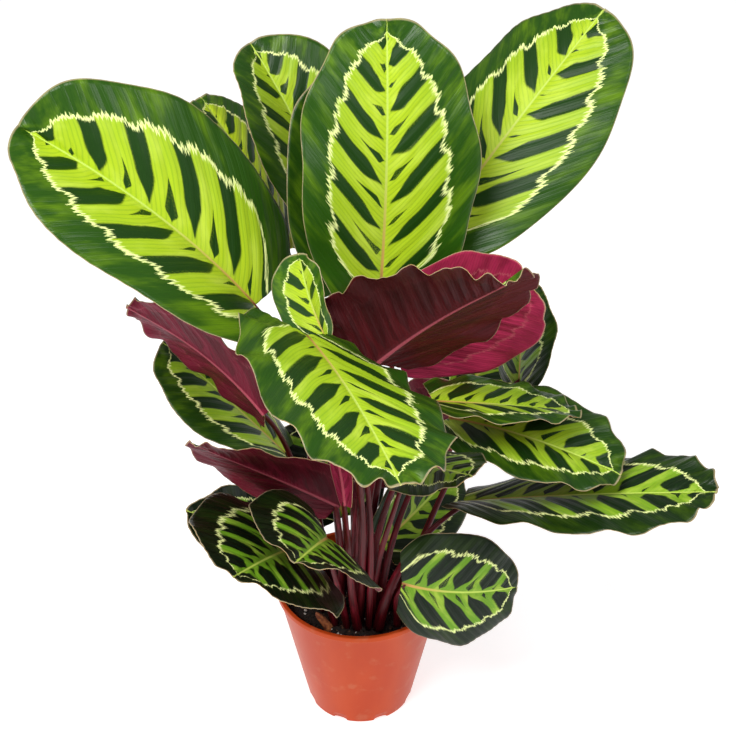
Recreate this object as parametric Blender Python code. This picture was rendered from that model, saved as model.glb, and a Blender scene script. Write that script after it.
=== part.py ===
"""Potted calathea: a nursery pot, its soil, and for every leaf a blade and the stalk that carries it.

Metres, +Z up, the front of the plant is -Y. The origin is the centre of the pot's flat underside.
Run with: blender --background --python part.py
"""
import math

import bmesh
import bpy
from mathutils import Vector

# ---------------------------------------------------------------- driving dimensions
MM = 0.001

POT_RIM_R = 0.0850          # outside of the rolled rim: a 17 cm nursery pot
POT_BASE_R = 0.0545         # outside of the wall at the base
POT_HEIGHT = 0.1435
POT_WALL = 0.0018
POT_FLOOR = 0.0022
RIM_DEPTH = 0.0065          # height of the rolled rim
RIM_STEP = 0.0022           # how far the rim stands out from the wall
NOTCH_COUNT = 8             # drain notches around the bottom edge
NOTCH_WIDTH = 0.015
NOTCH_HEIGHT = 0.0032
POT_SEGMENTS = 48
SHARP_ANGLE = math.radians(35.0)

SOIL_TOP = 0.1280
SOIL_GAP = 0.0005           # between soil and stalks
SOIL_CLEAR = 0.0014         # between the soil's side and the pot's wall
SOIL_LOW = 0.0043           # underside of the soil
SOIL_FALL = 0.0045          # how much lower the soil is at the wall
SOIL_SEGMENTS = 36

BLADE_THICKNESS = 0.0008
BLADE_ROWS = 9              # cells from base to tip
BLADE_COLUMNS = 6           # cells from edge to edge
VEIN_SPREAD = 1.35          # how the veins' feet crowd towards the tip
VEIN_SWEEP = 1.2            # how late a side vein turns towards the tip
EDGE_FULLNESS = 0.9         # below 1 the outline is fuller than an ellipse
BASE_TURN = 28.0            # degrees around the outline where the base notch starts
LOBE = 0.10                 # how far the base lobes reach back, as a share of the length
WIDEST = 0.47               # where the blade is widest, as a share of the length

STALK_SIDES = 8
STALK_RINGS = 11
STALK_TIP_R = 0.0021
STALK_TAPER = 1.4           # how quickly a stalk thins above its foot
FOOT_PULL = 0.40            # share of the span over which a stalk keeps its lean at the foot
BLADE_PULL = 0.36           # share of the span over which it takes the lean at the blade
FOOT_LIFT = 1.2             # lift of a leaning stalk's foot, so that its low side clears the soil
JOINT_GAP = 0.0010          # between a stalk's end and its blade

# ---------------------------------------------------------------- leaves
# One line per leaf, lengths in millimetres and angles in degrees:
#   name,
#   base of the blade (x, y, z), tip of the blade (x, y, z),
#   roll about the line from base to tip (0: the midrib's upper side faces up), full width,
#   arch of the midrib, fold of each half at the midrib, curl of each half, twist base to tip,
#   foot of the stalk on the soil (x, y), radius of the stalk at the foot,
#   lean of the stalk at the foot (x, y) and at the blade (x, y, z)
LEAVES = (
    ("left_large", (-95, 20, 455), (-285, 0, 640), -40, 195, 40, 35, 30, -25,
     (-26, 7), 4.6, (-0.25, 0.05), (-0.6, 0.1, 0.9)),
    ("top_left", (-18, 149, 456), (-103, 199, 641), -15, 155, 30, 25, 10, -5,
     (-5, 4), 4.4, (0.0, 0.1), (-0.1, 0.5, 1.0)),
    ("top_middle", (20, 43, 460), (25, 98, 698), 15, 165, 30, 15, 5, -20,
     (-7, -19), 4.6, (0.0, 0.0), (0.1, 0.1, 1.0)),
    ("top_right", (74, 87, 501), (234, 207, 671), 20, 165, 5, 0, 20, -10,
     (5, 8), 4.6, (0.05, 0.1), (0.2, 0.3, 1.0)),
    ("behind_left", (-67, 107, 468), (-152, 182, 593), 20, 135, 20, 10, 35, -20,
     (-15, 7), 4, (-0.1, 0.1), (-0.3, 0.4, 0.9)),
    ("behind_top", (-4, 65, 451), (-19, 135, 636), 10, 130, 25, 10, 10, 0,
     (-6, -7), 4, (0.0, 0.1), (-0.1, 0.4, 1.0)),
    ("young", (-26, -70, 471), (-50, -51, 546), -90, 66, 30, 25, 5, 25,
     (8, -52), 3.4, (0.05, -0.05), (-0.3, -0.1, 1.0)),
    ("centre", (-42, -138, 518), (28, -351, 526), -17, 148, 14, 5, 17, 20,
     (-1, -43), 4.6, (0.05, -0.1), (-0.35, -0.35, 1.0)),
    ("left_turned", (-85, -55, 385), (-210, 0, 465), 65, 100, 30, 10, 15, -5,
     (-31, -12), 4.2, (-0.2, 0.1), (-0.3, -0.6, 0.75)),
    ("left_middle", (-72, 11, 296), (-187, 46, 401), 5, 135, 5, 10, 25, -30,
     (-36, -2), 4, (-0.2, 0.1), (-0.5, 0.1, 0.9)),
    ("low_left_turned", (-20, -28, 261), (-150, -73, 366), 50, 105, 5, 5, 5, -30,
     (-17, -26), 3.8, (-0.1, 0.0), (-0.2, 0.1, 1.0)),
    ("low_left_behind", (-76, 35, 172), (-166, -35, 262), -70, 115, 25, 40, 10, -10,
     (-37, -25), 3.4, (-0.3, 0.0), (-0.6, 0.0, 0.8)),
    ("low_left", (-60, -60, 236), (-105, -215, 331), -30, 160, 15, 10, 20, 15,
     (-25, -46), 4, (-0.2, 0.0), (-0.3, -0.3, 0.9)),
    ("low_middle", (-30, -70, 256), (-55, -185, 321), -30, 140, 15, 15, 25, 25,
     (-13, -50), 3.8, (-0.1, -0.1), (-0.1, -0.2, 1.0)),
    ("low_right", (40, -70, 200), (150, -75, 200), 85, 130, 50, 5, 20, 10,
     (37, -47), 3.8, (0, -0.15), (0.5, -0.1, 0.8)),
    ("inner_low", (21, -5, 195), (101, 105, 205), 55, 95, 10, 25, 20, 5,
     (17, -14), 3.6, (0.0, 0.1), (0.2, 0.2, 1.0)),
    ("right_far", (100, -20, 260), (320, -100, 330), -5, 140, 5, 15, 30, 30,
     (18, -52), 6, (0.15, 0.05), (0.9, 0.1, 0.6)),
    ("right_middle", (84, -2, 345), (239, -67, 325), 10, 120, 25, 20, 20, 0,
     (20, -30), 4.2, (0.05, 0), (0.5, 0.0, 0.9)),
    ("right_upper", (66, -49, 395), (201, -29, 370), -10, 100, 5, 15, 20, -10,
     (10, -29), 4, (0, 0), (0.4, 0.0, 0.9)),
    ("centre_turned", (13, -59, 439), (116, -141, 564), -35, 175, 15, 25, 25, 20,
     (-2, -30), 4.4, (0.0, -0.05), (0.1, -0.1, 1.0)),
    ("pink_turned", (30, 23, 399), (150, -52, 511), -85, 116, 25, 15, 15, -15,
     (1, -14), 4.2, (0.0, 0.0), (0.1, 0.0, 1.0)),
    ("right_behind", (157, 63, 342), (167, 108, 432), -55, 110, 10, 10, 30, 0,
     (30, -24), 4, (0.4, 0), (0.7, 0.3, 0.6)),
    ("rolled", (-13, -77, 299), (-23, -62, 354), 110, 25, 20, 10, 20, 10,
     (-2, -54), 4.6, (-0.15, -0.05), (-0.1, 0.05, 1.0)),
    ("inner_right", (41, -58, 330), (96, -143, 380), 10, 80, 15, 5, 25, 5,
     (12, -41), 3.8, (0.0, 0.0), (0.2, 0.0, 1.0)),
    ("back_high", (35, 115, 410), (95, 235, 470), 20, 120, 30, 10, 20, 0,
     (-5, 19), 4, (0.0, 0.15), (0.3, 0.6, 0.8)),
    ("back_left", (-16, 76, 168), (-60, 86, 286), -75, 126, 15, 10, 20, 0,
     (-14, 18), 3.8, (-0.05, 0.6), (-0.1, 0.3, 1.0)),
    ("back_right", (104, 161, 266), (192, 237, 290), 10, 105, 30, 10, 20, 0,
     (6, 17), 4, (0.1, 0.25), (0.7, 0.3, 0.7)),
    ("inner_back", (44, 72, 210), (78, 98, 325), -95, 120, 15, 10, 20, 0,
     (24, 14), 3.8, (0.1, 0.5), (0.2, 0.3, 1.0)),
)

# Blades whose outline differs: reach of the base lobes, place of the widest line.
OUTLINES = {"centre": (0.20, 0.33)}

# ---------------------------------------------------------------- colours
GREEN = (0.035, 0.145, 0.022, 1.0)
STALK_RED = (0.150, 0.010, 0.022, 1.0)
TERRACOTTA = (0.720, 0.130, 0.035, 1.0)
EARTH = (0.020, 0.011, 0.007, 1.0)


def material(name, colour, roughness, metallic=0.0):
    """A plain Principled material."""
    mat = bpy.data.materials.new(name)
    mat.use_nodes = True
    shader = mat.node_tree.nodes["Principled BSDF"]
    shader.inputs["Base Color"].default_value = colour
    shader.inputs["Roughness"].default_value = roughness
    shader.inputs["Metallic"].default_value = metallic
    return mat


def clear_scene():
    """Start from an empty scene."""
    for obj in list(bpy.data.objects):
        bpy.data.objects.remove(obj, do_unlink=True)


def add_object(name, data, mat=None):
    """Link a new object into the scene and give it its material."""
    obj = bpy.data.objects.new(name, data)
    bpy.context.scene.collection.objects.link(obj)
    if mat is not None:
        data.materials.append(mat)
    return obj


# ---------------------------------------------------------------- turned pieces
def turned(name, profile, mat, segments=POT_SEGMENTS):
    """Turn a closed outline of (radius, height) points about Z.

    The outline starts and ends on the axis, and the points between are joined by a ring each.
    """
    bm = bmesh.new()
    rings = []
    for radius, height in profile:
        if radius < 1e-6:
            rings.append([bm.verts.new((0.0, 0.0, height))])
            continue
        ring = []
        for i in range(segments):
            angle = 2.0 * math.pi * i / segments
            ring.append(bm.verts.new((radius * math.cos(angle), radius * math.sin(angle), height)))
        rings.append(ring)
    for lower, upper in zip(rings, rings[1:]):
        for i in range(segments):
            j = (i + 1) % segments
            if len(lower) == 1:
                bm.faces.new((lower[0], upper[j], upper[i]))
            elif len(upper) == 1:
                bm.faces.new((lower[i], lower[j], upper[0]))
            else:
                bm.faces.new((lower[i], lower[j], upper[j], upper[i]))
    bmesh.ops.recalc_face_normals(bm, faces=bm.faces)
    mesh = bpy.data.meshes.new(name)
    bm.to_mesh(mesh)
    bm.free()
    mesh.shade_smooth()
    mesh.set_sharp_from_angle(angle=SHARP_ANGLE)
    return add_object(name, mesh, mat)


def wall_radius(z):
    """Outside of the pot's tapered wall at height z."""
    top = POT_HEIGHT - RIM_DEPTH
    return POT_BASE_R + (POT_RIM_R - RIM_STEP - POT_BASE_R) * z / top


def pot_profile():
    """Outline of the pot from the middle of its underside, up the outside and down the inside."""
    z_step = POT_HEIGHT - RIM_DEPTH
    outer = wall_radius(z_step)
    inner = outer - POT_WALL
    floor_r = wall_radius(POT_FLOOR) - POT_WALL
    return [
        (0.0, 0.0),
        (POT_BASE_R - 0.0030, 0.0),
        (POT_BASE_R - 0.0008, 0.0006),
        (wall_radius(0.0030), 0.0030),
        (outer, z_step),
        (POT_RIM_R - 0.0008, z_step + 0.0002),
        (POT_RIM_R, z_step + 0.0014),
        (POT_RIM_R, POT_HEIGHT - 0.0014),
        (POT_RIM_R - 0.0009, POT_HEIGHT - 0.0003),
        (POT_RIM_R - 0.0022, POT_HEIGHT),
        (inner + 0.0004, POT_HEIGHT - 0.0008),
        (inner, POT_HEIGHT - 0.0026),
        (floor_r, POT_FLOOR),
        (0.0, POT_FLOOR),
    ]


def notch_cutter(name, angle):
    """A flat arch, lying on its side, that opens the bottom corner of the pot."""
    steps = 6
    bm = bmesh.new()
    outline = [(-NOTCH_WIDTH / 2, -0.002)]
    for i in range(steps + 1):
        a = math.pi * (1.0 - i / steps)
        outline.append((NOTCH_WIDTH / 2 * math.cos(a), NOTCH_HEIGHT * math.sin(a) + 0.0002))
    outline.append((NOTCH_WIDTH / 2, -0.002))
    near = [bm.verts.new((POT_BASE_R - 0.0065, y, z)) for y, z in outline]
    face = bm.faces.new(near)
    out = bmesh.ops.extrude_face_region(bm, geom=[face])
    moved = [v for v in out["geom"] if isinstance(v, bmesh.types.BMVert)]
    bmesh.ops.translate(bm, vec=(0.012, 0.0, 0.0), verts=moved)
    bmesh.ops.recalc_face_normals(bm, faces=bm.faces)
    mesh = bpy.data.meshes.new(name)
    bm.to_mesh(mesh)
    bm.free()
    cutter = add_object(name, mesh)
    cutter.rotation_euler = (0.0, 0.0, angle)
    cutter.hide_render = True
    cutter.display_type = "WIRE"
    return cutter


def build_pot():
    """The pot, with its drain notches cut through the bottom corner."""
    pot = turned("pot", pot_profile(), material("pot", TERRACOTTA, 0.38))
    for k in range(NOTCH_COUNT):
        cutter = notch_cutter("notch_%d" % (k + 1), 2.0 * math.pi * (k + 0.5) / NOTCH_COUNT)
        cut = pot.modifiers.new(cutter.name, "BOOLEAN")
        cut.operation = "DIFFERENCE"
        cut.solver = "EXACT"
        cut.object = cutter


def build_soil():
    """The root ball: it fills the pot and rises a little towards the stalks."""
    clear = POT_WALL + SOIL_CLEAR
    edge = SOIL_TOP - SOIL_FALL
    profile = [
        (0.0, SOIL_LOW),
        (wall_radius(SOIL_LOW) - clear - 0.0040, SOIL_LOW),
        (wall_radius(SOIL_LOW + 0.004) - clear, SOIL_LOW + 0.0040),
        (wall_radius(edge) - clear, edge),
        (0.0680, SOIL_TOP - 0.0015),
        (0.0600, SOIL_TOP),
        (0.0, SOIL_TOP),
    ]
    turned("soil", profile, material("soil", EARTH, 0.95), SOIL_SEGMENTS)


# ---------------------------------------------------------------- blades
def leaf_frame(base, tip, roll):
    """Unit vectors of a blade: along it, to its right, and out of its upper side."""
    along = (tip - base).normalized()
    heading = math.atan2(along.y, along.x)
    side = Vector((math.sin(heading), -math.cos(heading), 0.0))
    up = side.cross(along)
    r = math.radians(roll)
    return along, side * math.cos(r) - up * math.sin(r), side * math.sin(r) + up * math.cos(r)


def outline(s, t, lobe, widest):
    """Place of the point (s, t) on the flattened blade.

    s runs 0 to 1 along a half's vein fan and t runs -1 to 1 from edge to edge. The result is a share of
    the length and a share of the half width. The edge is an oval: half an ellipse behind the widest line
    and half an ellipse in front of it, and the side veins sweep forward to meet it.
    """
    start = math.radians(BASE_TURN)
    turn = start + (math.pi - start) * (1.0 - (1.0 - s) ** VEIN_SPREAD)
    reach = (widest + lobe) if math.cos(turn) > 0.0 else (1.0 - widest)
    edge_x = widest - reach * math.cos(turn)
    edge_y = max(math.sin(turn), 0.0) ** EDGE_FULLNESS
    u = abs(t)
    return s + (edge_x - s) * u ** VEIN_SWEEP, math.copysign(edge_y * u, t)


def bent(angle, curl, share):
    """Sideways reach and rise of a half that leaves at one angle and curls back through another."""
    end = angle - curl * share
    if abs(curl) < 1e-4:
        return share * math.cos(angle), share * math.sin(angle)
    return (math.sin(angle) - math.sin(end)) / curl, (math.cos(end) - math.cos(angle)) / curl


def blade_point(leaf, s, t):
    """Middle surface of a blade: an arched midrib carrying two folded, curled halves."""
    name, base, tip, roll, width, arch, fold, curl, twist = leaf[:9]
    base = Vector(base) * MM
    tip = Vector(tip) * MM
    width = width * MM
    along, side, up = leaf_frame(base, tip, roll)
    x, y = outline(s, t, *OUTLINES.get(name, (LOBE, WIDEST)))
    k = math.radians(max(arch, 0.1))
    length = (tip - base).length * (k / 2) / math.sin(k / 2)
    a = k * (x - 0.5)
    point = base + along * (length / k * (math.sin(a) + math.sin(k / 2)))
    point += up * (length / k * (math.cos(a) - math.cos(k / 2)))
    normal = up * math.cos(a) + along * math.sin(a)
    turn = math.radians(twist) * (x - 0.5)
    across = side * math.cos(turn) - normal * math.sin(turn)
    normal = side * math.sin(turn) + normal * math.cos(turn)
    reach, rise = bent(math.radians(fold), math.radians(curl), abs(y))
    return point + across * math.copysign(width / 2 * reach, y) + normal * (width / 2 * rise)


def blade_start(leaf):
    """Base of the midrib and its direction there."""
    step = 0.01
    base = blade_point(leaf, 0.0, 0.0)
    return base, (blade_point(leaf, step, 0.0) - base).normalized()


def build_blade(leaf, mat):
    """One blade: a sheet over the vein fan, thickened evenly to both sides."""
    bm = bmesh.new()
    rows = []
    for i in range(BLADE_ROWS):
        s = i / BLADE_ROWS
        row = []
        for j in range(BLADE_COLUMNS + 1):
            row.append(bm.verts.new(blade_point(leaf, s, 2.0 * j / BLADE_COLUMNS - 1.0)))
        rows.append(row)
    for lower, upper in zip(rows, rows[1:]):
        for j in range(BLADE_COLUMNS):
            bm.faces.new((lower[j], lower[j + 1], upper[j + 1], upper[j]))
    end = bm.verts.new(blade_point(leaf, 1.0, 0.0))
    for j in range(BLADE_COLUMNS):
        bm.faces.new((rows[-1][j], rows[-1][j + 1], end))
    mesh = bpy.data.meshes.new("blade_" + leaf[0])
    bm.to_mesh(mesh)
    bm.free()
    mesh.shade_smooth()
    obj = add_object("blade_" + leaf[0], mesh, mat)
    thick = obj.modifiers.new("thickness", "SOLIDIFY")
    thick.thickness = BLADE_THICKNESS
    thick.offset = 0.0


# ---------------------------------------------------------------- stalks
def stalk_route(leaf):
    """Points and radii of a stalk: from the soil it leans out, then bends into the blade."""
    foot_xy, foot_r, lean, arrive = leaf[9:13]
    slope = math.hypot(*lean) / math.hypot(*lean, 1.0)
    foot = Vector((foot_xy[0], foot_xy[1], foot_r * slope * FOOT_LIFT)) * MM
    foot.z += SOIL_TOP + SOIL_GAP
    base, direction = blade_start(leaf)
    arrive = Vector(arrive).normalized()
    tilt = math.acos(max(-1.0, min(1.0, arrive.dot(direction))))
    end = base - direction * (JOINT_GAP + STALK_TIP_R * math.sin(tilt))
    span = (end - foot).length
    p1 = foot + Vector((lean[0], lean[1], 1.0)).normalized() * span * FOOT_PULL
    p2 = end - arrive * span * BLADE_PULL
    points = []
    for i in range(STALK_RINGS):
        u = i / (STALK_RINGS - 1)
        v = 1.0 - u
        place = foot * v ** 3 + p1 * 3 * v * v * u + p2 * 3 * v * u * u + end * u ** 3
        radius = STALK_TIP_R + (foot_r * MM - STALK_TIP_R) * v ** STALK_TAPER
        points.append((place, radius))
    return points


def build_stalk(leaf, mat):
    """One stalk: a round, tapering sweep with closed ends."""
    curve = bpy.data.curves.new("stalk_" + leaf[0], "CURVE")
    curve.dimensions = "3D"
    curve.twist_mode = "MINIMUM"
    curve.bevel_depth = 1.0
    curve.bevel_resolution = STALK_SIDES // 2 - 2
    curve.use_fill_caps = True
    route = stalk_route(leaf)
    spline = curve.splines.new("POLY")
    spline.points.add(len(route) - 1)
    for knot, (place, radius) in zip(spline.points, route):
        knot.co = (place.x, place.y, place.z, 1.0)
        knot.radius = radius
    add_object("stalk_" + leaf[0], curve, mat)


def build_leaves():
    """Every leaf as a blade and a stalk."""
    green = material("blade", GREEN, 0.35)
    red = material("stalk", STALK_RED, 0.40)
    for leaf in LEAVES:
        build_blade(leaf, green)
        build_stalk(leaf, red)


def main():
    """Build the whole plant."""
    clear_scene()
    build_pot()
    build_soil()
    build_leaves()


main()
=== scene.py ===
"""Potted calathea, laid out as an add-on and run as a script: pot, soil, grit, leaf blades and stalks."""

import math

import bpy
import numpy as np
from bpy.props import FloatProperty, FloatVectorProperty, IntProperty, PointerProperty
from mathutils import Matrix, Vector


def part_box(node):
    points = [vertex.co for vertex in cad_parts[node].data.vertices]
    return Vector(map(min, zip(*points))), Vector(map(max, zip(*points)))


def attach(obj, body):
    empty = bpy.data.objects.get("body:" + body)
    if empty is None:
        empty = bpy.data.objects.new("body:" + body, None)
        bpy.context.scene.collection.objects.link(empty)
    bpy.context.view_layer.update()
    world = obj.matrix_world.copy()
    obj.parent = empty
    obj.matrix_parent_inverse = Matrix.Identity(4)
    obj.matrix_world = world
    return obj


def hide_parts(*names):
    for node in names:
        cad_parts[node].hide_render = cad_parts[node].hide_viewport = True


bl_info = {
    "name": "Potted Calathea",
    "version": (1, 0, 0),
    "blender": (4, 5, 0),
    "location": "3D View > Sidebar > Calathea",
    "description": "Builds a potted calathea: pot, soil, grit, leaf blades and stalks",
    "category": "Object",
}

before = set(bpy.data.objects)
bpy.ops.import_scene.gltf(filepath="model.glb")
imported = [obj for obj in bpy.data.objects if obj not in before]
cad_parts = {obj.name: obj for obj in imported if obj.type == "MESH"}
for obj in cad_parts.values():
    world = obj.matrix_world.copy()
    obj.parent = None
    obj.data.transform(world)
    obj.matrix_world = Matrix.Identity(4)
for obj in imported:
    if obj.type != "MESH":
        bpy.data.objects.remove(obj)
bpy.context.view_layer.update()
POT_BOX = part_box("pot")
SOIL_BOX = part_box("soil")
MM = 0.001

# ---------------------------------------------------------------- leaves
# One line per leaf, lengths in millimetres and angles in degrees:
#   name,
#   base of the blade (x, y, z), tip of the blade (x, y, z),
#   roll about the line from base to tip (0: the midrib's upper side faces up), full width,
#   arch of the midrib, fold of each half at the midrib, curl of each half, twist base to tip,
#   foot of the stalk on the soil (x, y), radius of the stalk at the foot,
#   lean of the stalk at the foot (x, y) and at the blade (x, y, z)
LEAVES = (
    ("left_large", (-95, 20, 455), (-285, 0, 640), -40, 195, 40, 35, 30, -25,
     (-26, 7), 4.6, (-0.25, 0.05), (-0.6, 0.1, 0.9)),
    ("top_left", (-18, 149, 456), (-103, 199, 641), -15, 155, 30, 25, 10, -5,
     (-5, 4), 4.4, (0.0, 0.1), (-0.1, 0.5, 1.0)),
    ("top_middle", (20, 43, 460), (25, 98, 698), 15, 165, 30, 15, 5, -20,
     (-7, -19), 4.6, (0.0, 0.0), (0.1, 0.1, 1.0)),
    ("top_right", (74, 87, 501), (234, 207, 671), 20, 165, 5, 0, 20, -10,
     (5, 8), 4.6, (0.05, 0.1), (0.2, 0.3, 1.0)),
    ("behind_left", (-67, 107, 468), (-152, 182, 593), 20, 135, 20, 10, 35, -20,
     (-15, 7), 4, (-0.1, 0.1), (-0.3, 0.4, 0.9)),
    ("behind_top", (-4, 65, 451), (-19, 135, 636), 10, 130, 25, 10, 10, 0,
     (-6, -7), 4, (0.0, 0.1), (-0.1, 0.4, 1.0)),
    ("young", (-26, -70, 471), (-50, -51, 546), -90, 66, 30, 25, 5, 25,
     (8, -52), 3.4, (0.05, -0.05), (-0.3, -0.1, 1.0)),
    ("centre", (-42, -138, 518), (28, -351, 526), -17, 148, 14, 5, 17, 20,
     (-1, -43), 4.6, (0.05, -0.1), (-0.35, -0.35, 1.0)),
    ("left_turned", (-85, -55, 385), (-210, 0, 465), 65, 100, 30, 10, 15, -5,
     (-31, -12), 4.2, (-0.2, 0.1), (-0.3, -0.6, 0.75)),
    ("left_middle", (-72, 11, 296), (-187, 46, 401), 5, 135, 5, 10, 25, -30,
     (-36, -2), 4, (-0.2, 0.1), (-0.5, 0.1, 0.9)),
    ("low_left_turned", (-20, -28, 261), (-150, -73, 366), 50, 105, 5, 5, 5, -30,
     (-17, -26), 3.8, (-0.1, 0.0), (-0.2, 0.1, 1.0)),
    ("low_left_behind", (-76, 35, 172), (-166, -35, 262), -70, 115, 25, 40, 10, -10,
     (-37, -25), 3.4, (-0.3, 0.0), (-0.6, 0.0, 0.8)),
    ("low_left", (-60, -60, 236), (-105, -215, 331), -30, 160, 15, 10, 20, 15,
     (-25, -46), 4, (-0.2, 0.0), (-0.3, -0.3, 0.9)),
    ("low_middle", (-30, -70, 256), (-55, -185, 321), -30, 140, 15, 15, 25, 25,
     (-13, -50), 3.8, (-0.1, -0.1), (-0.1, -0.2, 1.0)),
    ("low_right", (40, -70, 200), (150, -75, 200), 85, 130, 50, 5, 20, 10,
     (37, -47), 3.8, (0, -0.15), (0.5, -0.1, 0.8)),
    ("inner_low", (21, -5, 195), (101, 105, 205), 55, 95, 10, 25, 20, 5,
     (17, -14), 3.6, (0.0, 0.1), (0.2, 0.2, 1.0)),
    ("right_far", (100, -20, 260), (320, -100, 330), -5, 140, 5, 15, 30, 30,
     (18, -52), 6, (0.15, 0.05), (0.9, 0.1, 0.6)),
    ("right_middle", (84, -2, 345), (239, -67, 325), 10, 120, 25, 20, 20, 0,
     (20, -30), 4.2, (0.05, 0), (0.5, 0.0, 0.9)),
    ("right_upper", (66, -49, 395), (201, -29, 370), -10, 100, 5, 15, 20, -10,
     (10, -29), 4, (0, 0), (0.4, 0.0, 0.9)),
    ("centre_turned", (13, -59, 439), (116, -141, 564), -35, 175, 15, 25, 25, 20,
     (-2, -30), 4.4, (0.0, -0.05), (0.1, -0.1, 1.0)),
    ("pink_turned", (30, 23, 399), (150, -52, 511), -85, 116, 25, 15, 15, -15,
     (1, -14), 4.2, (0.0, 0.0), (0.1, 0.0, 1.0)),
    ("right_behind", (157, 63, 342), (167, 108, 432), -55, 110, 10, 10, 30, 0,
     (30, -24), 4, (0.4, 0), (0.7, 0.3, 0.6)),
    ("rolled", (-13, -77, 299), (-23, -62, 354), 110, 25, 20, 10, 20, 10,
     (-2, -54), 4.6, (-0.15, -0.05), (-0.1, 0.05, 1.0)),
    ("inner_right", (41, -58, 330), (96, -143, 380), 10, 80, 15, 5, 25, 5,
     (12, -41), 3.8, (0.0, 0.0), (0.2, 0.0, 1.0)),
    ("back_high", (35, 115, 410), (95, 235, 470), 20, 120, 30, 10, 20, 0,
     (-5, 19), 4, (0.0, 0.15), (0.3, 0.6, 0.8)),
    ("back_left", (-16, 76, 168), (-60, 86, 286), -75, 126, 15, 10, 20, 0,
     (-14, 18), 3.8, (-0.05, 0.6), (-0.1, 0.3, 1.0)),
    ("back_right", (104, 161, 266), (192, 237, 290), 10, 105, 30, 10, 20, 0,
     (6, 17), 4, (0.1, 0.25), (0.7, 0.3, 0.7)),
    ("inner_back", (44, 72, 210), (78, 98, 325), -95, 120, 15, 10, 20, 0,
     (24, 14), 3.8, (0.1, 0.5), (0.2, 0.3, 1.0)),
)

# Blades whose outline differs: reach of the base lobes, place of the widest line.
OUTLINES = {"centre": (0.20, 0.33)}
LOBE = 0.10
WIDEST = 0.47
BASE_TURN = 28.0
STALK_TIP_R = 2.1
SOIL_GAP = 0.5
SMALL_BLADE = 60               # blades up to this width have fewer points
SMALL_ROWS = 64
SMALL_COLUMNS = 14
OUTER_RINGS = 22               # rings of the pot's outline that are surely on its outside

# ---------------------------------------------------------------- stage settings
FLOOR_REACH = 6.0
FLOOR_GLOW = 0.60
SKY_LIGHT = 0.38               # strength of the sky as a light
SKY_SEEN = 0.95                # strength of the sky where the camera sees it
CAMERA_PLACE = (0.0, -1.142, 1.116)
CAMERA_TILT = 57.9
CAMERA_TURN = -0.41
CAMERA_LENS = 71.3
CAMERA_SENSOR = 36.0
WHITE = (1.0, 1.0, 1.0, 1.0)
# name, place, point aimed at, width of the disk in metres, power in watts
LIGHTS = (
    ("key", (-0.8, -1.3, 2.4), (0.0, 0.0, 0.40), 1.2, 60.0),
    ("fill", (1.3, -1.0, 1.7), (0.0, 0.0, 0.35), 1.0, 14.0),
)

# How each leaf looks: bars to a leaf's length in each half, age and shade (0 fresh and bright, 1 old and
# dark, partly from age and partly painted shade), painted light on the underside (0 deep burgundy, 1 painted
# lit pink), height of the edge's waves in millimetres, number of waves along a half, seed.
LOOKS = {
    "left_large": (5.2, 0.12, 0.2, 2.0, 3.0, 1),
    "top_left": (5.2, 0.22, 0.2, 2.0, 3.0, 2),
    "top_middle": (5.9, 0.10, 0.2, 2.5, 4.0, 3),
    "top_right": (5.2, 0.18, 0.2, 2.0, 3.0, 4),
    "behind_left": (4.4, 0.00, 0.2, 2.5, 3.0, 5),
    "behind_top": (4.4, 0.40, 0.2, 2.0, 3.0, 6),
    "young": (3.0, 0.00, 0.2, 1.5, 3.0, 7),
    "centre": (5.2, 0.30, 0.2, 4.0, 5.5, 8),
    "left_turned": (4.4, 0.40, 0.3, 3.0, 5.0, 9),
    "left_middle": (4.4, 0.55, 0.2, 2.0, 3.0, 10),
    "low_left_turned": (4.4, 0.80, 0.2, 2.0, 4.0, 11),
    "low_left_behind": (4.4, 1.00, 0.2, 2.0, 3.0, 12),
    "low_left": (5.2, 1.00, 0.2, 2.5, 3.0, 13),
    "low_middle": (4.4, 1.00, 0.2, 2.0, 3.0, 14),
    "low_right": (4.4, 0.95, 0.2, 2.0, 3.0, 15),
    "inner_low": (3.7, 0.85, 0.2, 1.5, 3.0, 16),
    "right_far": (5.2, 0.75, 0.2, 3.0, 6.0, 17),
    "right_middle": (4.4, 0.45, 0.2, 3.0, 4.5, 18),
    "right_upper": (4.4, 0.40, 0.2, 2.5, 4.5, 19),
    "centre_turned": (5.2, 0.40, 0.0, 3.5, 6.0, 20),
    "pink_turned": (5.2, 0.40, 1.0, 2.0, 4.0, 21),
    "right_behind": (4.4, 0.75, 0.3, 2.0, 3.0, 22),
    "rolled": (3.7, 0.40, 0.8, 0.5, 2.0, 23),
    "inner_right": (3.7, 0.80, 0.2, 1.5, 3.0, 24),
    "back_high": (4.4, 0.50, 0.2, 2.0, 3.0, 25),
    "back_left": (4.4, 1.00, 0.2, 2.0, 3.0, 26),
    "inner_back": (4.4, 1.00, 0.2, 2.0, 3.0, 28),
    "back_right": (4.4, 0.70, 0.2, 2.0, 3.0, 27),
}


# ---------------------------------------------------------------- small helpers
def tint(red, green, blue):
    """A screen colour, 0 to 255, as linear light: ((c/255 + 0.055) / 1.055) to the power 2.4."""
    shares = np.array([red, green, blue]) / 255.0
    low = shares / 12.92
    high = ((shares + 0.055) / 1.055) ** 2.4
    return tuple(float(c) for c in np.where(shares <= 0.04045, low, high)) + (1.0,)


def unit(vectors):
    """Vectors scaled to length one along the last axis."""
    length = np.linalg.norm(vectors, axis=-1, keepdims=True)
    return vectors / np.maximum(length, 1e-12)


def smooth(value, low, high):
    """Soft step: 0 below low, 1 above high, 3v^2 - 2v^3 between."""
    v = np.clip((value - low) / (high - low), 0.0, 1.0)
    return v * v * (3.0 - 2.0 * v)


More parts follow.
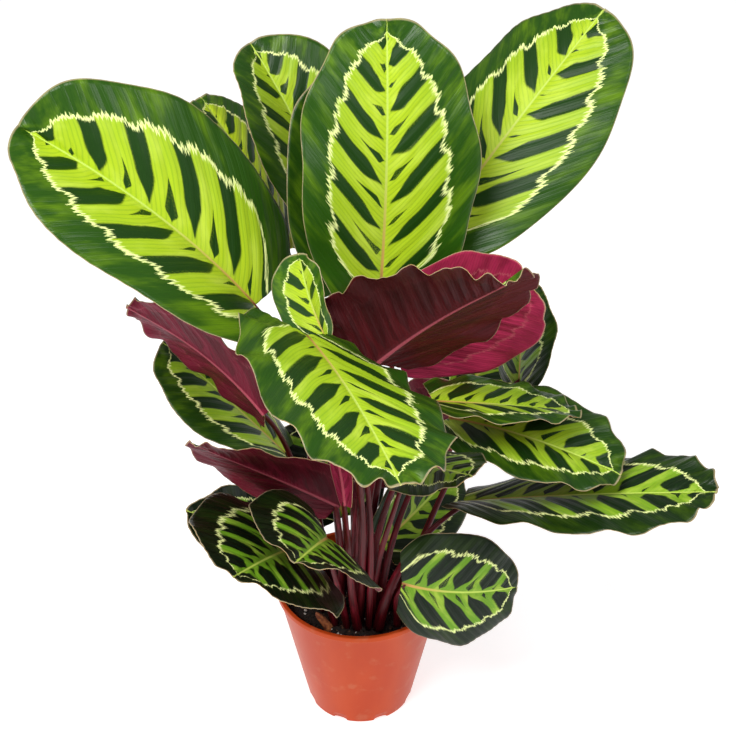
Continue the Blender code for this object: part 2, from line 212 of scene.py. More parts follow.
def lattice(x, y, cell, seed):
    """Value noise: random heights 0 to 1 on a square lattice, eased between the four nearest corners."""
    table = np.random.default_rng(seed).random((64, 64))
    gx, gy = x / cell, y / cell
    ix, iy = np.floor(gx).astype(int), np.floor(gy).astype(int)
    fx, fy = gx - ix, gy - iy
    fx, fy = fx * fx * (3 - 2 * fx), fy * fy * (3 - 2 * fy)
    low = table[ix % 64, iy % 64] * (1 - fx) + table[(ix + 1) % 64, iy % 64] * fx
    high = table[ix % 64, (iy + 1) % 64] * (1 - fx) + table[(ix + 1) % 64, (iy + 1) % 64] * fx
    return low * (1 - fy) + high * fy


def grid_faces(rows, columns, first=0, wrap=False, flip=False):
    """Quads of a grid of points stored row by row; wrap joins the last column to the first."""
    i, j = np.meshgrid(np.arange(rows - 1), np.arange(columns if wrap else columns - 1), indexing="ij")
    k = (j + 1) % columns
    quads = np.stack([i * columns + j, i * columns + k, (i + 1) * columns + k, (i + 1) * columns + j], -1)
    quads = quads.reshape(-1, 4) + first
    return quads[:, ::-1] if flip else quads


def fan_faces(ring, centre, flip=False):
    """Triangles from a centre point to each pair of neighbours in a closed ring of points."""
    ring = np.asarray(ring)
    fan = np.stack([ring, np.roll(ring, -1), np.full(len(ring), centre)], -1)
    return fan[:, ::-1] if flip else fan


def make_piece(name, points, face_sets, materials, node, body="root"):
    """A mesh from points and (faces, material number) pairs, riding on a body and standing for a node."""
    faces = []
    indices = []
    for group, number in face_sets:
        faces.extend(group.tolist())
        indices.append(np.full(len(group), number, np.int32))
    mesh = bpy.data.meshes.new(name)
    mesh.from_pydata(points.reshape(-1, 3).tolist(), [], faces)
    for mat in materials:
        mesh.materials.append(mat)
    mesh.polygons.foreach_set("material_index", np.concatenate(indices))
    mesh.polygons.foreach_set("use_smooth", np.ones(len(mesh.polygons), bool))
    mesh.update()
    obj = bpy.data.objects.new(name, mesh)
    bpy.context.scene.collection.objects.link(obj)
    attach(obj, body)
    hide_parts(node)
    return obj


def point_vectors(obj, name, values):
    """Store a vector for each point of a mesh under an attribute's name."""
    layer = obj.data.attributes.new(name, "FLOAT_VECTOR", "POINT")
    layer.data.foreach_set("vector", np.ascontiguousarray(values, np.float32).ravel())


def surface_map(obj, across, along):
    """Store a UV map from one pair of numbers for each point."""
    corners = np.empty(len(obj.data.loops), np.int32)
    obj.data.loops.foreach_get("vertex_index", corners)
    layer = obj.data.uv_layers.new(name="surface")
    pairs = np.stack([across[corners], along[corners]], -1).astype(np.float32)
    layer.data.foreach_set("uv", pairs.ravel())


# ---------------------------------------------------------------- node wiring
class Wiring:
    """Adds nodes to one tree and joins them, so that a formula reads as one call for each step."""

    def __init__(self, tree):
        self.tree = tree

    def join(self, value, socket):
        """Link a socket into a socket, or set a plain value."""
        if isinstance(value, bpy.types.NodeSocket):
            self.tree.links.new(value, socket)
        else:
            socket.default_value = value

    def node(self, kind, inputs=(), **settings):
        """A node with settings, and its inputs given by name or number."""
        made = self.tree.nodes.new(kind)
        for key, value in settings.items():
            setattr(made, key, value)
        for key, value in dict(inputs).items():
            self.join(value, made.inputs[key])
        return made

    def math(self, operation, *values):
        """One step of arithmetic."""
        return self.node("ShaderNodeMath", dict(enumerate(values)), operation=operation).outputs[0]

    def swing(self, value, amount):
        """The value's distance from a half, times an amount."""
        return self.math("MULTIPLY", self.math("SUBTRACT", value, 0.5), amount)

    def place(self):
        """The point's place on the piece."""
        return self.node("ShaderNodeTexCoord").outputs["Object"]

    def step(self, value, low, high, start=0.0, end=1.0):
        """Soft step from start to end while the value goes from low to high."""
        made = self.node(
            "ShaderNodeMapRange",
            {"Value": value, "From Min": low, "From Max": high, "To Min": start, "To Max": end},
            interpolation_type="SMOOTHSTEP",
        )
        return made.outputs["Result"]

    def mix(self, share, first, second, blend="MIX"):
        """First colour at share 0, second at share 1."""
        made = self.node("ShaderNodeMix", {0: share, 6: first, 7: second}, data_type="RGBA", blend_type=blend)
        return made.outputs[2]

    def vector(self, x, y, z):
        """Three numbers as one vector."""
        return self.node("ShaderNodeCombineXYZ", {0: x, 1: y, 2: z}).outputs[0]

    def noise(self, vector, scale, detail=2.0, roughness=0.5):
        """Soft noise about 0.5."""
        inputs = {"Vector": vector, "Scale": scale, "Detail": detail, "Roughness": roughness}
        return self.node("ShaderNodeTexNoise", inputs).outputs[0]

    def parts(self, vector):
        """The three numbers of a vector."""
        return self.node("ShaderNodeSeparateXYZ", {0: vector}).outputs

    def attribute(self, name):
        """The vector that a piece stores for each point."""
        return self.node("ShaderNodeAttribute", attribute_name=name).outputs["Vector"]

    def bump(self, height, strength, distance, normal=None):
        """A relief for the shader's Normal."""
        inputs = {"Height": height, "Strength": strength, "Distance": distance}
        if normal is not None:
            inputs["Normal"] = normal
        return self.node("ShaderNodeBump", inputs).outputs[0]


def new_group(name, takes, gives):
    """A shader node group with named sockets; returns its wiring, what comes in and what goes out."""
    tree = bpy.data.node_groups.new(name, "ShaderNodeTree")
    for label, kind, start in takes:
        made = tree.interface.new_socket(name=label, in_out="INPUT", socket_type="NodeSocket" + kind)
        if start is not None:
            made.default_value = start
    for label, kind in gives:
        tree.interface.new_socket(name=label, in_out="OUTPUT", socket_type="NodeSocket" + kind)
    wires = Wiring(tree)
    source = tree.nodes.new("NodeGroupInput").outputs
    target = tree.nodes.new("NodeGroupOutput").inputs
    return wires, source, target


def new_material(name):
    """An empty material; returns it, its wiring and its Principled shader's inputs."""
    mat = bpy.data.materials.new(name)
    mat.use_nodes = True
    shader = mat.node_tree.nodes["Principled BSDF"]
    return mat, Wiring(mat.node_tree), shader.inputs


def use_group(wires, group, inputs):
    """Place a node group and give it its inputs."""
    made = wires.tree.nodes.new("ShaderNodeGroup")
    made.node_tree = bpy.data.node_groups[group]
    for key, value in inputs.items():
        wires.join(value, made.inputs[key])
    return made.outputs


# ---------------------------------------------------------------- finishes
def build_vein_pattern():
    """The markings of a calathea blade, drawn over its side veins.

    Each point of a blade holds its vein course (one unit for each bar), t (-1 to 1 across) and level (how far
    inside the ring it is). Phase is the course with a slow wobble, and f its distance from a bar's middle.
    Bars: f under a half width that opens from a point near the midrib. Wedges: short ones half way between.
    Ring: where level crosses zero, pulled in at each bar and made ragged by streaks along the veins.
    Lines: a fine cosine of the phase.
    """
    takes = (
        ("Fan", "Vector", None), ("Level", "Float", 0.0), ("Age", "Float", 0.3),
        ("Bar Width", "Float", 0.145), ("Ring Width", "Float", 0.030),
    )
    gives = (
        ("Inside", "Float"), ("Bar", "Float"), ("Ring", "Float"), ("Lines", "Float"),
        ("Streaks", "Float"), ("Patches", "Float"),
    )
    w, given, out = new_group("vein pattern", takes, gives)
    course, t, seed = w.parts(given["Fan"])
    u = w.math("ABSOLUTE", t)
    side = w.math("GREATER_THAN", t, 0.0)
    spot = w.vector(w.math("MULTIPLY", course, 0.8), w.math("MULTIPLY", u, 1.6), w.math("ADD", seed, side))
    wobble = w.math("SUBTRACT", w.noise(spot, 1.0, 1.0), 0.5)
    phase = w.math("MULTIPLY_ADD", wobble, 0.30, course)
    cell = w.math("FLOOR", phase)
    f = w.math("ABSOLUTE", w.math("SUBTRACT", w.math("FRACT", phase), 0.5))
    key = w.vector(cell, side, seed)
    chance = w.node("ShaderNodeTexWhiteNoise", {"Vector": key}, noise_dimensions="3D").outputs["Value"]
    chance_wedge = w.math("FRACT", w.math("MULTIPLY", chance, 7.0))
    fine = w.vector(w.math("MULTIPLY", course, 24.0), w.math("MULTIPLY", u, 5.0), w.math("ADD", seed, side))
    streaks = w.noise(fine, 1.0, 3.0, 0.6)
    coarse = w.vector(w.math("MULTIPLY", course, 2.0), w.math("MULTIPLY", u, 2.0), w.math("ADD", seed, side))
    patches = w.noise(coarse, 1.0, 3.0, 0.55)
    # ring: scallops between the bars, then ragged teeth
    scallop = w.math("MULTIPLY", w.math("SUBTRACT", w.step(f, 0.02, 0.26), 0.70), 0.055)
    teeth = w.swing(streaks, 0.22)
    rough = w.swing(patches, 0.08)
    depth = w.math("ADD", w.math("ADD", given["Level"], scallop), w.math("ADD", teeth, rough))
    inside = w.step(depth, 0.0, 0.012)
    ring_in = w.step(depth, given["Ring Width"], w.math("MULTIPLY", given["Ring Width"], 1.9), 1.0, 0.0)
    ring = w.math("MULTIPLY", inside, ring_in)
    # bars and wedges
    opening = w.step(u, 0.03, 0.30)
    widen = w.math("MULTIPLY_ADD", chance, 0.08, given["Bar Width"])
    half = w.math("MULTIPLY", w.math("MULTIPLY_ADD", given["Age"], 0.13, widen), opening)
    blur = w.swing(streaks, 0.05)
    bar = w.step(w.math("SUBTRACT", w.math("ADD", f, blur), half), -0.015, 0.045, 1.0, 0.0)
    bar = w.math("MULTIPLY", bar, w.step(u, 0.035, 0.07))
    middle = w.math("SUBTRACT", 0.5, f)
    reach = w.math("MULTIPLY_ADD", chance_wedge, 0.34, 0.08)
    wedge_half = w.math("MULTIPLY", w.step(u, 0.03, 0.12), w.math("SUBTRACT", reach, u))
    wedge = w.step(w.math("SUBTRACT", middle, w.math("MULTIPLY", wedge_half, 0.55)), -0.01, 0.02, 1.0, 0.0)
    wedge = w.math("MULTIPLY", wedge, w.math("GREATER_THAN", wedge_half, 0.002))
    bar = w.math("MAXIMUM", bar, wedge)
    lines = w.math("COSINE", w.math("MULTIPLY", phase, 2.0 * math.pi * 9.0))
    lines = w.math("POWER", w.math("MULTIPLY_ADD", lines, 0.5, 0.5), 5.0)
    for label, value in (
        ("Inside", inside), ("Bar", w.math("MULTIPLY", bar, inside)), ("Ring", ring), ("Lines", lines),
        ("Streaks", streaks), ("Patches", patches),
    ):
        w.join(value, out[label])


def blade_top_material(colours):
    """Upper side of a blade: dark margin, ragged cream ring, yellow-green panels with dark bars, glossy,
    darkened by age and by painted shade.
    """
    mat, w, shader = new_material("blade top")
    fan = w.attribute("fan")
    level, age_and_shade = w.parts(w.attribute("look"))[:2]
    rib, edge, along = w.parts(w.attribute("place"))
    u = w.math("ABSOLUTE", w.parts(fan)[1])
    marks = use_group(w, "vein pattern", {"Fan": fan, "Level": level, "Age": age_and_shade})
    # The leaf's age and shade value darkens panels, bars and margin: partly the blade's own age, partly
    # painted shade on the low and inner blades.
    panel = w.mix(age_and_shade, colours.panel_fresh, colours.panel_old_and_shaded)
    shade = w.math("MULTIPLY", w.step(u, 0.15, 0.70), 0.25)
    panel = w.mix(shade, panel, colours.panel_deep)
    panel = w.mix(w.math("MULTIPLY", marks["Lines"], 0.30), panel, colours.panel_deep)
    panel = w.mix(w.step(marks["Patches"], 0.45, 0.75, 0.0, 0.45), panel, colours.panel_pale)
    bar = w.mix(age_and_shade, colours.bar_fresh, colours.bar_old_and_shaded)
    bar = w.mix(w.step(marks["Streaks"], 0.50, 0.80, 0.0, 0.35), bar, colours.margin_fresh)
    margin = w.mix(age_and_shade, colours.margin_fresh, colours.margin_old_and_shaded)
    # The lighter margin patches fade on old blades and under the painted shade.
    fresh_and_lit = w.math("SUBTRACT", 0.85, w.math("MULTIPLY", age_and_shade, 0.8))
    light = w.math("MULTIPLY", w.step(marks["Patches"], 0.42, 0.72), fresh_and_lit)
    margin = w.mix(light, margin, colours.margin_light)
    margin = w.mix(w.step(marks["Streaks"], 0.35, 0.75, 0.0, 0.35), margin, bar)
    colour = w.mix(marks["Inside"], margin, panel)
    colour = w.mix(marks["Bar"], colour, bar)
    broken = w.math("MULTIPLY", marks["Ring"], w.step(marks["Patches"], 0.25, 0.45, 0.35, 1.0))
    colour = w.mix(broken, colour, colours.ring)
    midrib = w.mix(w.step(along, 0.05, 0.55), colours.rib_base, colours.rib_tip)
    midrib = w.mix(w.step(along, 0.0, 0.10, 0.6, 0.0), midrib, colours.stalk)
    half = w.math("MULTIPLY_ADD", w.math("SUBTRACT", 1.0, along), 1.0, 0.50)
    rib_mask = w.step(w.math("SUBTRACT", rib, half), -0.25, 0.45, 1.0, 0.0)
    colour = w.mix(rib_mask, colour, midrib)
    rim = w.step(edge, 0.25, 0.9, 0.55, 0.0)
    colour = w.mix(rim, colour, colours.edge)
    w.join(colour, shader["Base Color"])
    gloss = w.math("MULTIPLY_ADD", w.math("SUBTRACT", marks["Patches"], 0.5), 0.22, 0.34)
    gloss = w.math("MULTIPLY_ADD", marks["Inside"], 0.08, gloss)
    w.join(gloss, shader["Roughness"])
    relief = w.math("MULTIPLY_ADD", marks["Lines"], -0.5, w.math("MULTIPLY", marks["Streaks"], 0.9))
    w.join(w.bump(relief, 0.35, 0.0006), shader["Normal"])
    shader["Specular IOR Level"].default_value = 0.22
    return mat


def blade_under_material(colours):
    """Underside of a blade: burgundy, darker along the bars, with ribs and a faint ring showing through;
    painted light turns lit blades pink.
    """
    mat, w, shader = new_material("blade underside")
    fan = w.attribute("fan")
    level, age_and_shade, painted_lit_share = w.parts(w.attribute("look"))
    rib, edge, along = w.parts(w.attribute("place"))
    marks = use_group(w, "vein pattern", {"Fan": fan, "Level": level, "Age": age_and_shade, "Ring Width": 0.022})
    # Painted light: a share for each leaf turns the burgundy into lit pink and lifts its darkest tone.
    colour = w.mix(painted_lit_share, colours.under_deep, colours.under_painted_lit)
    dark = w.mix(painted_lit_share, colours.under_dark, colours.under_deep)
    colour = w.mix(w.math("MULTIPLY", marks["Bar"], 0.45), colour, dark)
    colour = w.mix(w.step(marks["Patches"], 0.35, 0.75, 0.0, 0.5), colour, dark)
    colour = w.mix(w.math("MULTIPLY", marks["Lines"], 0.22), colour, dark)
    # Painted light: the ring shows more on the painted lit blades.
    faint = w.math("MULTIPLY", marks["Ring"], w.math("MULTIPLY_ADD", painted_lit_share, 0.65, 0.05))
    colour = w.mix(faint, colour, colours.under_ring)
    half = w.math("MULTIPLY_ADD", w.math("SUBTRACT", 1.0, along), 1.1, 0.4)
    rib_mask = w.step(w.math("SUBTRACT", rib, half), -0.3, 0.6, 0.55, 0.0)
    colour = w.mix(rib_mask, colour, colours.under_ring)
    colour = w.mix(w.step(edge, 0.2, 0.8, 0.5, 0.0), colour, colours.edge)
    w.join(colour, shader["Base Color"])
    w.join(w.step(marks["Streaks"], 0.2, 0.8, 0.36, 0.52), shader["Roughness"])
    relief = w.math("MULTIPLY_ADD", marks["Lines"], 0.6, w.math("MULTIPLY", marks["Streaks"], 0.9))
    w.join(w.bump(relief, 0.4, 0.0006), shader["Normal"])
    shader["Specular IOR Level"].default_value = 0.14
    return mat


def blade_edge_material(colours):
    """The cut-thin edge of a blade: pale, a little mottled."""
    mat, w, shader = new_material("blade edge")
    place = w.place()
    mottle = w.noise(place, 180.0, 2.0)
    w.join(w.mix(w.step(mottle, 0.35, 0.7), colours.edge, colours.rib_base), shader["Base Color"])
    w.join(w.step(mottle, 0.2, 0.8, 0.4, 0.55), shader["Roughness"])
    return mat


def stalk_material(colours):
    """Stalks: burgundy red with fine lengthwise streaks, painted shade darkening them towards the soil,
    satin.
    """
    mat, w, shader = new_material("stalk")
    around, along, seed = w.parts(w.attribute("run"))
    line = w.vector(w.math("MULTIPLY", around, 26.0), w.math("MULTIPLY", along, 7.0), seed)
    streaks = w.noise(line, 1.0, 3.0, 0.6)
    spot = w.vector(w.math("MULTIPLY", around, 2.0), w.math("MULTIPLY", along, 9.0), seed)
    blotch = w.noise(spot, 1.0, 2.0)
    colour = w.mix(w.step(streaks, 0.30, 0.72), colours.stalk_dark, colours.stalk)
    colour = w.mix(w.step(blotch, 0.50, 0.80, 0.0, 0.55), colour, colours.stalk_pink)
    # Painted shade: darker at the stalks' feet, under the leaves and among the other stalks.
    colour = w.mix(w.step(along, 0.0, 0.09, 0.65, 0.0), colour, colours.stalk_dark)
    w.join(colour, shader["Base Color"])
    w.join(w.step(streaks, 0.2, 0.8, 0.30, 0.46), shader["Roughness"])
    w.join(w.bump(streaks, 0.35, 0.0008), shader["Normal"])
    shader["Specular IOR Level"].default_value = 0.28
    return mat


def pot_material(colours):
    """Moulded plastic: terracotta orange with a soft satin sheen, faint flow marks and scuffs, and a painted
    highlight lightening the rim.
    """
    mat, w, shader = new_material("pot plastic")
    place = w.place()
    x, y, z = w.parts(place)
    drawn = w.vector(w.math("MULTIPLY", x, 30.0), w.math("MULTIPLY", y, 30.0), w.math("MULTIPLY", z, 9.0))
    flow = w.noise(drawn, 1.0, 3.0)
    grain = w.noise(place, 900.0, 2.0)
    colour = w.mix(w.step(flow, 0.3, 0.7), colours.pot, colours.pot_deep)
    # Painted highlight: the top band of the rim is lightened where the light falls on it.
    colour = w.mix(w.step(z, 0.132, 0.1385, 0.0, 0.35), colour, colours.pot_rim_painted_light)
    dust = w.math("MULTIPLY", w.step(w.noise(place, 60.0, 4.0), 0.55, 0.75), 0.10)
    colour = w.mix(dust, colour, colours.edge)
    w.join(colour, shader["Base Color"])
    w.join(w.math("MULTIPLY_ADD", flow, 0.14, 0.30), shader["Roughness"])
    shader["Specular IOR Level"].default_value = 0.16
    w.join(w.bump(grain, 0.12, 0.0002), shader["Normal"])
    return mat


def soil_material(colours):
    """Potting soil: near-black crumbs with brown fibre, rough all over."""
    mat, w, shader = new_material("potting soil")
    place = w.place()
    crumb = w.noise(place, 240.0, 5.0, 0.65)
    damp = w.noise(place, 40.0, 2.0)
    colour = w.mix(w.step(crumb, 0.35, 0.70), colours.soil_dark, colours.soil)
    colour = w.mix(w.step(damp, 0.45, 0.70, 0.0, 0.6), colour, colours.soil_dark)
    w.join(colour, shader["Base Color"])
    w.join(w.step(crumb, 0.3, 0.7, 0.75, 0.98), shader["Roughness"])
    w.join(w.bump(crumb, 0.9, 0.0020), shader["Normal"])
    return mat


def grain_material(name, light, dark, scale, roughness):
    """Loose grains: two tones of one colour by noise, with a rough relief."""
    mat, w, shader = new_material(name)
    place = w.place()
    mottle = w.noise(place, scale, 3.0)
    w.join(w.mix(w.step(mottle, 0.35, 0.65), dark, light), shader["Base Color"])
    w.join(w.step(mottle, 0.2, 0.8, roughness - 0.1, roughness), shader["Roughness"])
    w.join(w.bump(mottle, 0.6, 0.0008), shader["Normal"])
    return mat


# ---------------------------------------------------------------- blades
def leaf_frame(base, tip, roll):
    """Unit vectors of a blade: along it, to its right, and out of its upper side, turned by the roll."""
    along = unit(tip - base)
    heading = math.atan2(along[1], along[0])
    side = np.array([math.sin(heading), -math.cos(heading), 0.0])
    up = np.cross(side, along)
    r = math.radians(roll)
    return along, side * math.cos(r) - up * math.sin(r), side * math.sin(r) + up * math.cos(r)


def blade_outline(s, t, lobe, widest):
    """Shares (x, y) of length and half width for fan coordinates s (0 to 1) and t (-1 to 1).

    The edge is an oval: half an ellipse behind the widest line and half an ellipse in front of it. The
    edge's place on it turns from 28 degrees at s = 0 to 180 at s = 1, and between the midrib (x = s) and
    the edge, x follows |t| to the power 1.2, so each side vein sweeps forward.
    """
    start = math.radians(BASE_TURN)
    turn = start + (math.pi - start) * (1.0 - (1.0 - s) ** 1.35)
    reach = np.where(np.cos(turn) > 0.0, widest + lobe, 1.0 - widest)
    edge_x = widest - reach * np.cos(turn)
    edge_y = np.maximum(np.sin(turn), 0.0) ** 0.9
    u = np.abs(t)
    return s + (edge_x - s) * u ** 1.2, np.sign(t) * edge_y * u, edge_y


def vein_course(leaf, look, x, y, t):
    """Which vein a point lies on, counted in bars from the base.

    A side vein leaves the midrib at x0 and sweeps forward by 0.40 |y|^1.15 of the length, so
    x0 = x - 0.40 |y|^1.15. The count is x0 times the number of bars, shifted on one half and by the seed.
    """
    foot = x - 0.40 * np.abs(y) ** 1.15
    return foot * look[0] + 0.42 * (t > 0) + 0.37 * look[5]


def ring_level(s, t):
    """How far inside the ring a point is, as a share of the half width.

    The ring stands at 0.70 of the way to the edge, drawn in to 0.38 at the base and closed before the tip
    by a quarter of an ellipse: 0.70 sqrt(1 - ((s - 0.72) / 0.235)^2) past s = 0.72.
    """
    past = np.maximum((s - 0.72) / 0.235, 0.0)
    tip_share = np.where(past < 1.0, np.sqrt(np.maximum(1.0 - past ** 2, 0.0)), 1.0 - past)
    return 0.70 * tip_share * (0.54 + 0.46 * smooth(s, -0.02, 0.20)) - np.abs(t)


def blade_middle(leaf, s, t):
    """Middle surface of a blade, and its x and y shares.

    The midrib is an arc of a circle over the line from base to tip. At each x the two halves leave it at
    the fold angle f and curl back by c over the half width W/2: sideways (sin f - sin(f - c|y|)) / c,
    upwards (cos(f - c|y|) - cos f) / c. The pair turns about the midrib by twist (x - 0.5).
    """
    name, base, tip, roll, width, arch, fold, curl, twist = leaf[:9]
    base = np.array(base) * MM
    tip = np.array(tip) * MM
    along, side, up = leaf_frame(base, tip, roll)
    x, y, edge_y = blade_outline(s, t, *OUTLINES.get(name, (LOBE, WIDEST)))
    k = math.radians(max(arch, 0.1))
    length = np.linalg.norm(tip - base) * (k / 2) / math.sin(k / 2)
    a = (k * (x - 0.5))[..., None]
    point = base + along * (length / k * (np.sin(a) + math.sin(k / 2)))
    point = point + up * (length / k * (np.cos(a) - math.cos(k / 2)))
    normal = up * np.cos(a) + along * np.sin(a)
    turn = (math.radians(twist) * (x - 0.5))[..., None]
    across = side * np.cos(turn) - normal * np.sin(turn)
    normal = side * np.sin(turn) + normal * np.cos(turn)
    f = math.radians(fold)
    c = max(math.radians(curl), 1e-4)
    end = f - c * np.abs(y)
    reach = (math.sin(f) - np.sin(end)) / c * np.sign(y)
    rise = (np.cos(end) - math.cos(f)) / c
    half = width * MM / 2
    return point + across * (half * reach)[..., None] + normal * (half * rise)[..., None], x, y, edge_y


def grid_normals(points):
    """Unit normals of a grid of points: the columns' direction crossed with the rows' direction."""
    down = np.gradient(points, axis=0)
    over = np.gradient(points, axis=1)
    normals = np.cross(over, down)
    normals[-1] = normals[-2]
    return unit(normals)


def blade_relief(leaf, look, s, t, rib, course, sizes):
    """Height of the middle surface's relief along its normal, in metres.

    Pleats: the absolute sine of three pi times the vein course, so each vein is a crease; they rise from
    the midrib and fade at the edge. Waves: a sine along the half, growing with the cube of |t|. Sag: a
    broad slow unevenness. Groove: the midrib sits in a dip that is a bell curve of the distance to it.
    """
    wave, waves, seed = look[3:]
    u = np.abs(t)
    side = np.where(t > 0, 1.0, 0.0)
    crease = np.abs(np.sin(3.0 * math.pi * course)) ** 0.8 - 0.6
    scale = leaf[4] / 150.0
    height = sizes.pleat * scale * crease * smooth(u, 0.02, 0.25) * (1.0 - 0.45 * smooth(u, 0.6, 1.0))
    ripple = np.sin(2 * math.pi * (waves * s + 0.37 * seed + 0.5 * side))
    ripple = ripple + 0.45 * np.sin(2 * math.pi * (1.7 * waves * s + 0.61 * seed + 0.3 * side))
    height = height + wave * MM * ripple * u ** 3 * smooth(s, 0.0, 0.12) * smooth(1.0 - s, 0.0, 0.10)
    sag = np.sin(3.1 * s + 2.3 * t + seed) * np.sin(4.3 * s - 1.9 * t + 2.0 * seed)
    height = height + 1.2 * MM * sag * smooth(u, 0.0, 0.4) * smooth(s, 0.0, 0.15)
    height = height - sizes.groove * np.exp(-((rib / 3.0) ** 2)) * smooth(1.0 - s, 0.0, 0.2)
    return height


def build_blade(leaf, materials, sizes):
    """One blade: a closed sheet with an upper side, an underside with a raised midrib, and a thin edge.

    Its outline is scalloped by a cosine along each half that grows with the fourth power of |t|.
    """
    name = leaf[0]
    look = LOOKS[name]
    rows, half = (sizes.blade_rows, sizes.blade_columns)
    if leaf[4] <= SMALL_BLADE:
        rows, half = (SMALL_ROWS, SMALL_COLUMNS)
    s = (np.arange(rows) / rows)[:, None]
    u = (np.arange(half + 1) / half) ** 1.25
    t = np.concatenate([-u[:0:-1], u])[None, :]
    s, t = np.broadcast_arrays(s, t)
    s = np.concatenate([s, np.full((1, s.shape[1]), 0.9995)])
    t = np.concatenate([t, t[:1]])
    around = 2 * math.pi * (look[4] * s + 0.37 * look[5] + 0.5 * (t > 0))
    ends = smooth(s, 0.0, 0.12) * smooth(1.0 - s, 0.0, 0.1)
    scallop = 1.0 + 0.010 * look[3] * np.cos(around) * t ** 4 * ends
    middle, x, y, edge_y = blade_middle(leaf, s, t * scallop)
    width = leaf[4] / 2.0
    rib = np.abs(y) * width
    edge = (1.0 - np.abs(t)) * edge_y * width
    course = vein_course(leaf, look, x, y, t)
    relief = blade_relief(leaf, look, s, t, rib, course, sizes)
    middle = middle + grid_normals(middle) * relief[..., None]
    normal = grid_normals(middle)
    ridge = np.exp(-((rib / 1.5) ** 2)) * (1.0 - np.clip(x, 0.0, 1.0)) ** 0.8
    thick = sizes.thickness * (0.5 + 0.5 * smooth(edge, 0.0, 3.0))
    top = middle + normal * (thick / 2 + 0.35 * MM * ridge)[..., None]
    under = middle - normal * (thick / 2 + sizes.ridge * ridge)[..., None]
    columns = t.shape[1]
    count = rows * columns
    tip_top = middle[-1, half] + normal[-1, half] * 0.1 * MM
    tip_under = middle[-1, half] - normal[-1, half] * 0.1 * MM
    points = np.concatenate([
        top[:-1].reshape(-1, 3), tip_top[None], under[:-1].reshape(-1, 3), tip_under[None],
    ])
    second = count + 1
    last = (rows - 1) * columns + np.arange(columns)
    fan = np.stack([last[:-1], last[1:], np.full(columns - 1, count)], -1)
    sheet = grid_faces(rows, columns)
    loop = np.concatenate([
        np.arange(columns), np.arange(2, rows + 1) * columns - 1, [count],
        np.arange(rows - 1, 0, -1) * columns,
    ])
    onward = np.roll(loop, -1)
    strip = np.stack([onward, loop, loop + second, onward + second], -1)
    face_sets = [
        (sheet, 0), (fan, 0), (sheet[:, ::-1] + second, 1), (fan[:, ::-1] + second, 1), (strip, 2),
    ]
    obj = make_piece("leaf_" + name, points, face_sets, materials, "blade_" + name)
    per_point = []
    for value in (course, t, ring_level(s, t), rib, edge, x, s):
        flat = np.append(value[:-1].ravel(), value[-1, half])
        per_point.append(np.concatenate([flat, flat]))
    course_all, t_all, level_all, rib_all, edge_all, x_all, s_all = per_point
    constant = np.ones(len(s_all))
    point_vectors(obj, "fan", np.stack([course_all, t_all, constant * look[5]], -1))
    point_vectors(obj, "look", np.stack([level_all, constant * look[1], constant * look[2]], -1))
    point_vectors(obj, "place", np.stack([rib_all, edge_all, np.clip(x_all, 0.0, 1.0)], -1))
    surface_map(obj, (t_all + 1.0) / 2.0, s_all)
    return obj


# ---------------------------------------------------------------- stalks
def tube(route, radii, sides):
    """A closed tube: rings about a route, each in the plane square to it, with a point at both ends.

    Ring directions: the route's tangent crossed with a fixed level axis, then crossed again.
    """
    tangent = unit(np.gradient(route, axis=0))
    first = unit(np.cross(tangent, np.array([0.03, 1.0, 0.02])))
    second = np.cross(tangent, first)
    angle = 2 * math.pi * np.arange(sides) / sides
    ring = first[:, None] * np.cos(angle)[None, :, None] + second[:, None] * np.sin(angle)[None, :, None]
    points = route[:, None] + ring * radii[..., None]
    count = len(route) * sides
    ends = np.stack([route[0], route[-1]])
    faces = grid_faces(len(route), sides, wrap=True)
    start = fan_faces(np.arange(sides), count, flip=True)
    finish = fan_faces(np.arange(sides) + count - sides, count + 1)
    return np.concatenate([points.reshape(-1, 3), ends]), faces, np.concatenate([start, finish])


def stalk_route(leaf, count, sizes):
    """Points of a stalk: a cubic curve from the soil to a place just under the blade's base.

    Its first handle is 0.40 of the span along the lean at the foot, its second 0.36 of the span back
    along the direction in which it arrives.
    """
    foot_xy, foot_r, lean, arrive = leaf[9:13]
    slope = math.hypot(*lean) / math.hypot(*lean, 1.0)
    foot = np.array([foot_xy[0], foot_xy[1], foot_r * slope * 1.2 + SOIL_GAP]) * MM
    foot[2] += SOIL_BOX[1].z
    near = blade_middle(leaf, np.array([[0.0, 0.0], [0.01, 0.01]]), np.array([[0.0, 0.01], [0.0, 0.01]]))[0]
    direction = unit(near[1, 0] - near[0, 0])
    across = unit(near[0, 1] - near[0, 0])
    normal = unit(np.cross(across, direction))
    tuck = sizes.thickness / 2 + 1.4 * MM
    end = near[0, 0] + direction * 4.0 * MM - normal * tuck
    span = np.linalg.norm(end - foot)
    p1 = foot + unit(np.array([lean[0], lean[1], 1.0])) * span * 0.40
    p2 = end - unit(np.array(arrive)) * span * 0.36
    foot = foot - np.array([0.0, 0.0, 3.0 * MM])
    v = np.linspace(0.0, 1.0, count)[:, None]
    w = 1.0 - v
    return foot * w ** 3 + p1 * 3 * w * w * v + p2 * 3 * w * v * v + end * v ** 3, v[:, 0]


